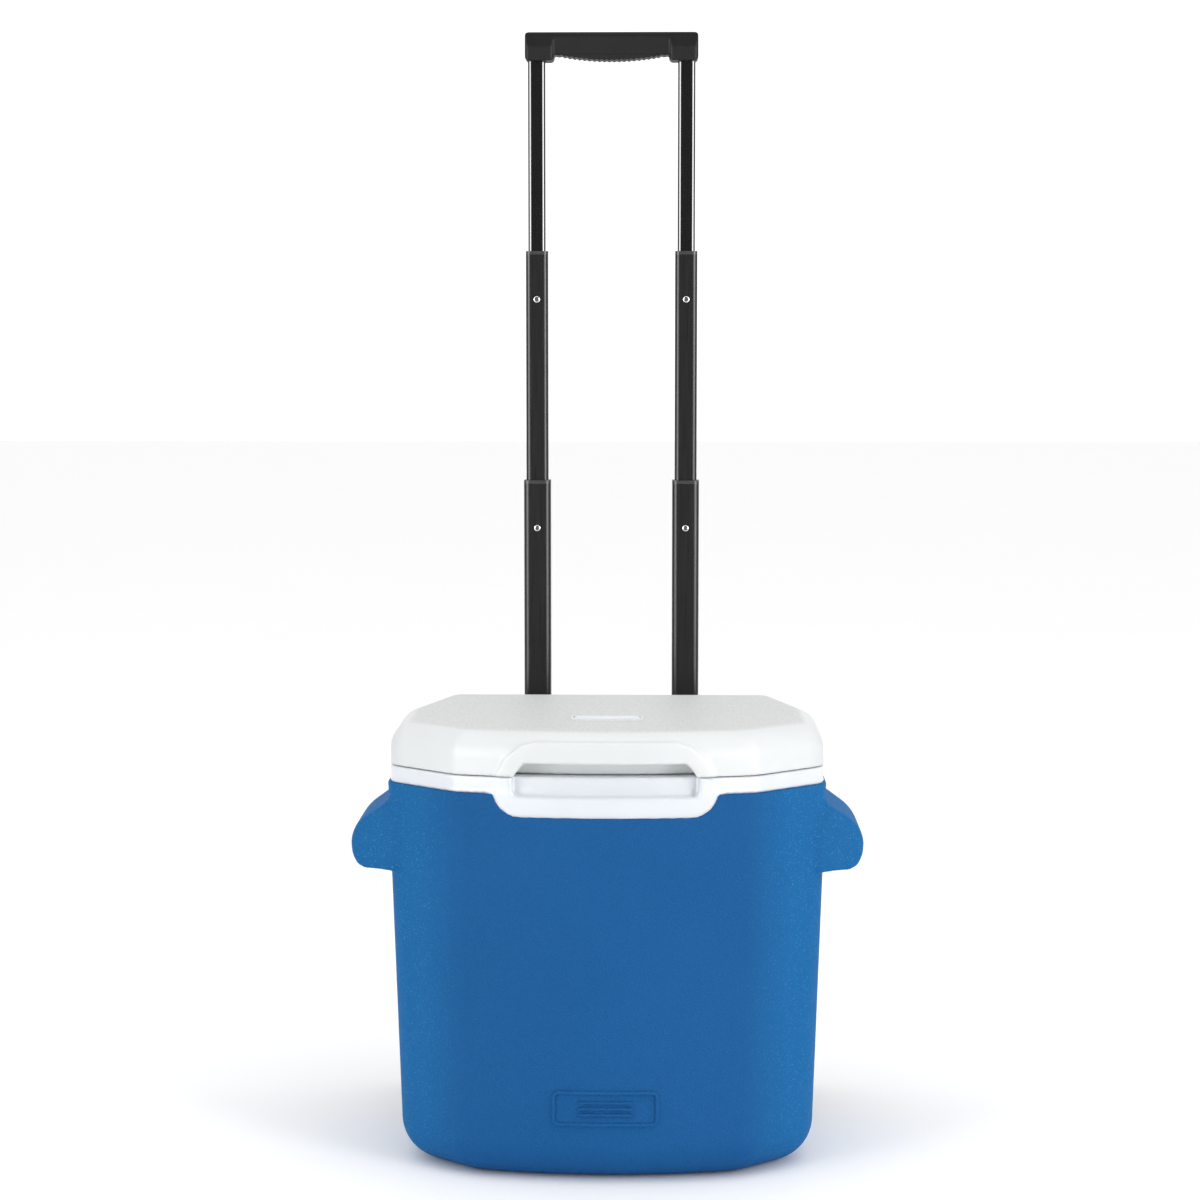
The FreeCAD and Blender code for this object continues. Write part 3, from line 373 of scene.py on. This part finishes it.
moulded("outer_shell", VOXEL_BODY, [(10, shell_blend), (55, grip_blend)])
moulded("inner_liner", VOXEL_BODY, [(3, None)], swell=LINER_SWELL)
moulded("lid_shell", VOXEL_LID, [(7, lid_blend)])
moulded("grip", VOXEL_GRIP, [(6, None)])
for part in ("upper_handle_bracket", "lower_handle_bracket"):
    moulded(part, VOXEL_BRACKET, [(3, None)])
for side in ("left", "right"):
    moulded(f"wheel_{side}", VOXEL_WHEEL, [(3, None)])
    moulded(f"wheel_tread_{side}", VOXEL_WHEEL, [(2, None)])


def surface_of(piece):
    graph = bpy.context.evaluated_depsgraph_get()
    return BVHTree.FromObject(piece, graph)


# Section of a rounded edge: how far in from its outline, in edge widths, and how high, in lifts.
EDGE_SECTION = ((0.0, -0.4), (0.0, 0.35), (0.3, 0.8), (1.0, 1.0))


def relief(name, outlines, body, slot, project, lift, edge):
    """Raised bands and pads on a surface, with rounded edges. Each outline is a pair of closed loops of 2-D
    points: a band lies between them, and a pad has None for its inner loop. project gives the place on the
    surface for a 2-D point, and the way out of it."""
    build = bmesh.new()

    def ring(loop, centre, inset, height):
        verts = []
        for point in loop:
            point = Vector(point)
            inward = (centre - point).normalized() * inset
            spot, out = project(point + inward)
            verts.append(build.verts.new(spot + out * lift * height))
        return verts

    for outer, inner in outlines:
        centre = sum((Vector(p) for p in outer), Vector((0, 0))) / len(outer)
        rings = [ring(outer, centre, edge * inset, height) for inset, height in EDGE_SECTION]
        if inner:
            rings += [ring(inner, centre, -edge * inset, height) for inset, height in reversed(EDGE_SECTION)]
            pairs = list(zip(rings, rings[1:] + rings[:1]))
        else:
            spot, out = project(centre)
            middle = build.verts.new(spot + out * lift)
            under = build.verts.new(spot - out * lift * 0.4)
            pairs = list(zip(rings, rings[1:]))
        count = len(outer)
        for index in range(count):
            ahead = (index + 1) % count
            for low, high in pairs:
                build.faces.new((low[index], low[ahead], high[ahead], high[index]))
            if not inner:
                build.faces.new((rings[-1][index], rings[-1][ahead], middle))
                build.faces.new((rings[0][ahead], rings[0][index], under))
    bmesh.ops.recalc_face_normals(build, faces=build.faces)
    mesh = bpy.data.meshes.new(name)
    build.to_mesh(mesh)
    build.free()
    return place(mesh, name, body, slot)


def rounded_loop(half_w, half_h, radius, middle=(0.0, 0.0)):
    """A rounded rectangle as a closed loop of 2-D points."""
    loop = []
    steps = 8
    for quarter, (sx, sy) in enumerate(((1, 1), (-1, 1), (-1, -1), (1, -1))):
        for step in range(steps + 1):
            angle = math.radians(90.0 * (quarter + step / steps))
            x = sx * (half_w - radius) + radius * math.cos(angle)
            y = sy * (half_h - radius) + radius * math.sin(angle)
            loop.append((middle[0] + x, middle[1] + y))
    return dense(loop, 0.003)


def dense(loop, step):
    """The same loop with points at most a step apart, so that it can follow a curved surface."""
    made = []
    for a, b in zip(loop, loop[1:] + loop[:1]):
        a, b = Vector(a), Vector(b)
        parts = max(1, math.ceil((b - a).length / step))
        made += [tuple(a.lerp(b, part / parts)) for part in range(parts)]
    return made


def resampled(loop, count):
    """The loop with this many points, evenly spaced by angle of travel along it."""
    points = [Vector(p) for p in loop]
    lengths = [(b - a).length for a, b in zip(points, points[1:] + points[:1])]
    total = sum(lengths)
    made, index, passed = [], 0, 0.0
    for number in range(count):
        goal = total * number / count
        while passed + lengths[index] < goal:
            passed += lengths[index]
            index += 1
        share = (goal - passed) / lengths[index]
        made.append(tuple(points[index].lerp(points[(index + 1) % len(points)], share)))
    return made


FRONT_BADGE = (0.0, 0.0635)
BADGE_HALF = (0.0430, 0.0145)
BADGE_BAND = 0.0028
BADGE_BARS = (-0.005, 0.0, 0.005)
BADGE_BAR_HALF = (0.0220, 0.0011)
BADGE_LIFT = 0.0014
BADGE_EDGE = 0.0008
PLAQUE_DEEP = 0.0865
PLAQUE_LIFT = 0.0010
PLAQUE_EDGE = 0.0005


def front_badge():
    """A plain raised frame with three bars, low on the tub's front."""
    skin = surface_of(bpy.data.objects["outer_shell_moulded"])

    def project(point):
        spot, normal, _, _ = skin.ray_cast(Vector((point.x, -0.4, point.y)), Vector((0, 1, 0)))
        return spot, normal

    w, h = BADGE_HALF
    inner = rounded_loop(w - BADGE_BAND, h - BADGE_BAND, 0.0022, FRONT_BADGE)
    outer = rounded_loop(w, h, 0.0050, FRONT_BADGE)
    count = max(len(outer), len(inner))
    outer, inner = resampled(outer, count), resampled(inner, count)
    outlines = [(outer, inner)]
    for offset in BADGE_BARS:
        bar = rounded_loop(*BADGE_BAR_HALF, 0.0010, (FRONT_BADGE[0], FRONT_BADGE[1] + offset))
        outlines.append((bar, None))
    relief("front_badge", outlines, "cooler_body", "blue_shell", project, BADGE_LIFT, BADGE_EDGE)


def lid_plaque():
    """A plain raised plaque on the lid's top."""
    low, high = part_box("lid_shell")
    skin = surface_of(bpy.data.objects["lid_shell_moulded"])
    middle = (0.0, low.y + PLAQUE_DEEP)

    def project(point):
        spot, _, _, _ = skin.ray_cast(Vector((point.x, point.y, high.z + 0.02)), Vector((0, 0, -1)))
        return spot, Vector((0, 0, 1))

    outer = rounded_loop(0.0295, 0.0100, 0.0035, middle)
    inner = resampled(rounded_loop(0.0278, 0.0083, 0.0020, middle), len(outer))
    pad = rounded_loop(0.0262, 0.0067, 0.0012, middle)
    outlines = [(outer, inner), (pad, None)]
    relief("lid_plaque", outlines, "lid", "white_liner", project, PLAQUE_LIFT, PLAQUE_EDGE)


front_badge()
lid_plaque()


# ---------------------------------------------------------------- stage, light, camera


def stage_floor():
    mesh = bpy.data.meshes.new("floor")
    build = bmesh.new()
    bmesh.ops.create_grid(build, x_segments=8, y_segments=8, size=9.0)
    build.to_mesh(mesh)
    build.free()
    floor = bpy.data.objects.new("floor", mesh)
    floor.location.y = FLOOR_Y
    home.objects.link(floor)
    mesh.materials.append(paper_floor())


def area_light(name, where, aim, size, power, glints_only=False):
    data = bpy.data.lights.new(name, "AREA")
    data.shape = "RECTANGLE"
    data.size, data.size_y = size
    data.energy = power
    light = bpy.data.objects.new(name, data)
    home.objects.link(light)
    light.location = where
    light.visible_diffuse = not glints_only
    light.rotation_euler = (Vector(aim) - Vector(where)).to_track_quat("-Z", "Y").to_euler()


ROOM_CENTRE = (0.0, 0.0, 0.45)
STRIP_SIZE = (0.9, 2.4)
STRIP_LEFT, STRIP_RIGHT = 28.0, 42.0
GLINT_SIZE = (2.6, 2.4)
GLINT_POWER = 190.0
FLOOR_Y = 6.5
# Brightness of the room, from behind the camera (0) round the sides (0.5) to the backdrop (1).
SKY_BANDS = ((0.03, 0.13), (0.42, 0.78), (0.58, 0.78), (0.68, 0.40), (0.90, 0.40), (0.965, 1.12))


def studio():
    world = bpy.data.worlds.new("studio")
    world.use_nodes = True
    tree = world.node_tree
    toward = tree.nodes.new("ShaderNodeTexCoord").outputs["Generated"]
    split = tree.nodes.new("ShaderNodeSeparateXYZ")
    tree.links.new(toward, split.inputs[0])
    around = tree.nodes.new("ShaderNodeMapRange")
    around.inputs["From Min"].default_value = -1.0
    tree.links.new(split.outputs["Y"], around.inputs["Value"])
    bands = tree.nodes.new("ShaderNodeValToRGB")
    bands.color_ramp.interpolation = "EASE"
    stops = bands.color_ramp.elements
    for _ in SKY_BANDS[2:]:
        stops.new(1.0)
    for stop, (place, strength) in zip(stops, SKY_BANDS):
        stop.position = place
        stop.color = (strength, strength, strength, 1.0)
    tree.links.new(around.outputs["Result"], bands.inputs["Fac"])
    up = tree.nodes.new("ShaderNodeMapRange")
    up.inputs["From Min"].default_value = 0.25
    up.inputs["From Max"].default_value = 0.9
    up.inputs["To Min"].default_value = 1.0
    up.inputs["To Max"].default_value = 2.2
    tree.links.new(split.outputs["Z"], up.inputs["Value"])
    both = tree.nodes.new("ShaderNodeMath")
    both.operation = "MULTIPLY"
    tree.links.new(bands.outputs["Color"], both.inputs[0])
    tree.links.new(up.outputs["Result"], both.inputs[1])
    sky = tree.nodes["Background"]
    sky.inputs["Color"].default_value = (1.0, 1.0, 1.0, 1.0)
    tree.links.new(both.outputs[0], sky.inputs["Strength"])
    bpy.context.scene.world = world
    bpy.context.scene.view_settings.view_transform = "Standard"
    area_light("strip_left", (-2.3, -1.9, 1.1), ROOM_CENTRE, STRIP_SIZE, STRIP_LEFT)
    area_light("strip_right", (2.3, -1.9, 1.1), ROOM_CENTRE, STRIP_SIZE, STRIP_RIGHT)
    for side, x in (("left", -2.2), ("right", 2.2)):
        where, aim = (x, -2.2, 0.7), (0.0, 0.0, 0.7)
        area_light(f"glint_{side}", where, aim, GLINT_SIZE, GLINT_POWER, glints_only=True)


CAMERA_AZIMUTH = 1.2
CAMERA_ELEVATION = 5.55
CAMERA_DISTANCE = 2.3
CAMERA_TARGET = (-0.0076, 0.014, 0.4578)
CAMERA_LENS = 81.3


def camera():
    data = bpy.data.cameras.new("camera")
    data.sensor_width = 36.0
    data.lens = CAMERA_LENS
    shot = bpy.data.objects.new("camera", data)
    home.objects.link(shot)
    a, e = math.radians(CAMERA_AZIMUTH), math.radians(CAMERA_ELEVATION)
    back = Vector((math.sin(a) * math.cos(e), -math.cos(a) * math.cos(e), math.sin(e)))
    shot.location = Vector(CAMERA_TARGET) + back * CAMERA_DISTANCE
    shot.rotation_euler = (-back).to_track_quat("-Z", "Y").to_euler()
    bpy.context.scene.camera = shot


stage_floor()
studio()
camera()
